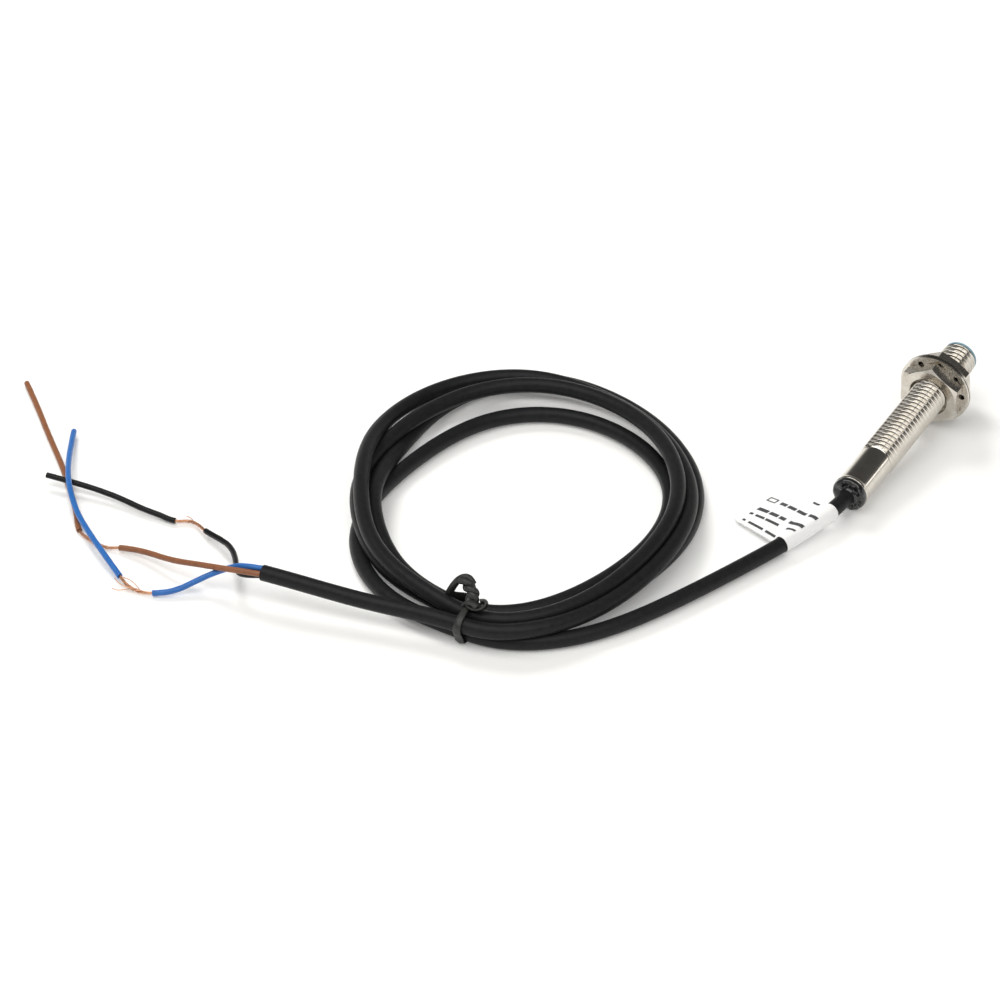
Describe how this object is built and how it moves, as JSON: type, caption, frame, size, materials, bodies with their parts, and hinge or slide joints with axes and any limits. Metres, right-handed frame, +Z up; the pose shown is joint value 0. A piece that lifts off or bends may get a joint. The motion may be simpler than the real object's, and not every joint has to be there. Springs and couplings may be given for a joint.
{
  "type": "inductive proximity sensor",
  "caption": "Cylindrical threaded inductive proximity sensor with clamping nuts, lock washers and a coiled lead ending in stripped wires.",
  "frame": {"origin": "on the floor, under the middle of the sensor's bounding box, with the lead left out", "axes": "+X along the barrel toward the sensing face, seen from above; +Z up; the barrel rises about six degrees toward the sensing face because it lies on its lock washers"},
  "size_m": [0.1575, 0.1879, 0.0164],
  "materials": {
    "nickel_plate": "satin nickel plate, machined",
    "nickel_nut": "bright nickel plate",
    "nickel_washer": "stamped, nickel plated",
    "blue_cap": "moulded, semi-gloss",
    "ferrite": "sintered ferrite, matte",
    "bobbin_plastic": "moulded",
    "copper": "bare copper",
    "board_green": "solder mask",
    "chip_black": "moulded epoxy",
    "capacitor_tan": "ceramic",
    "solder": "bright solder",
    "wire_brown": "PVC, satin",
    "wire_blue": "PVC, satin",
    "wire_black": "PVC, satin",
    "black_resin": "poured epoxy, glossy and lumpy",
    "cable_jacket": "PVC, matte",
    "tie_black": "plastic over wire, ridged",
    "label_white": "paper, printed"
  },
  "bodies": {
    "sensor": {"threaded_barrel": "nickel_plate", "sensing_cap": "blue_cap", "ferrite_core": "ferrite", "coil_bobbin": "bobbin_plastic", "coil_winding": "copper", "coil_leads": "copper", "circuit_board": "board_green", "oscillator_chip": "chip_black", "output_transistor": "chip_black", "protection_diode": "chip_black", "chip_capacitors": "capacitor_tan", "chip_resistors": "chip_black", "solder_joints": "solder", "inner_lead_brown": "wire_brown", "inner_lead_blue": "wire_blue", "inner_lead_black": "wire_black", "potting_resin": "black_resin", "cable_lead": "cable_jacket", "cable_coil": "cable_jacket", "cable_tail": "cable_jacket", "twist_tie": "tie_black", "flag_label": "label_white", "brown_stub": "wire_brown", "brown_copper": "copper", "brown_sleeve": "wire_brown", "blue_stub": "wire_blue", "blue_copper": "copper", "blue_sleeve": "wire_blue", "black_stub": "wire_black", "black_copper": "copper", "black_sleeve": "wire_black"},
    "rear_washer": {"rear_lock_washer": "nickel_washer"},
    "rear_clamp_nut": {"rear_nut": "nickel_nut"},
    "front_washer": {"front_lock_washer": "nickel_washer"},
    "front_clamp_nut": {"front_nut": "nickel_nut"}
  },
  "joints": [
    {"name": "rear_washer_slide", "type": "slide", "parent": "sensor", "child": "rear_washer", "axis": [0.9945, 0, 0.1048], "range_m": [-0.02375, 0]},
    {"name": "rear_nut_turn", "type": "hinge", "parent": "rear_washer", "child": "rear_clamp_nut", "pos_m": [0.01457, 0, 0.00821], "axis": [0.9945, 0, 0.1048], "range_deg": [-6840, 0]},
    {"name": "front_washer_slide", "type": "slide", "parent": "sensor", "child": "front_washer", "axis": [0.9945, 0, 0.1048], "range_m": [0, 0.01]},
    {"name": "front_nut_turn", "type": "hinge", "parent": "front_washer", "child": "front_clamp_nut", "pos_m": [0.01626, 0, 0.00838], "axis": [0.9945, 0, 0.1048], "range_deg": [0, 2880]}
  ],
  "couplings": [
    {"joint": "rear_nut_turn", "follows": "rear_washer_slide", "rad_per_m": 5026.5},
    {"joint": "front_nut_turn", "follows": "front_washer_slide", "rad_per_m": 5026.5}
  ]
}
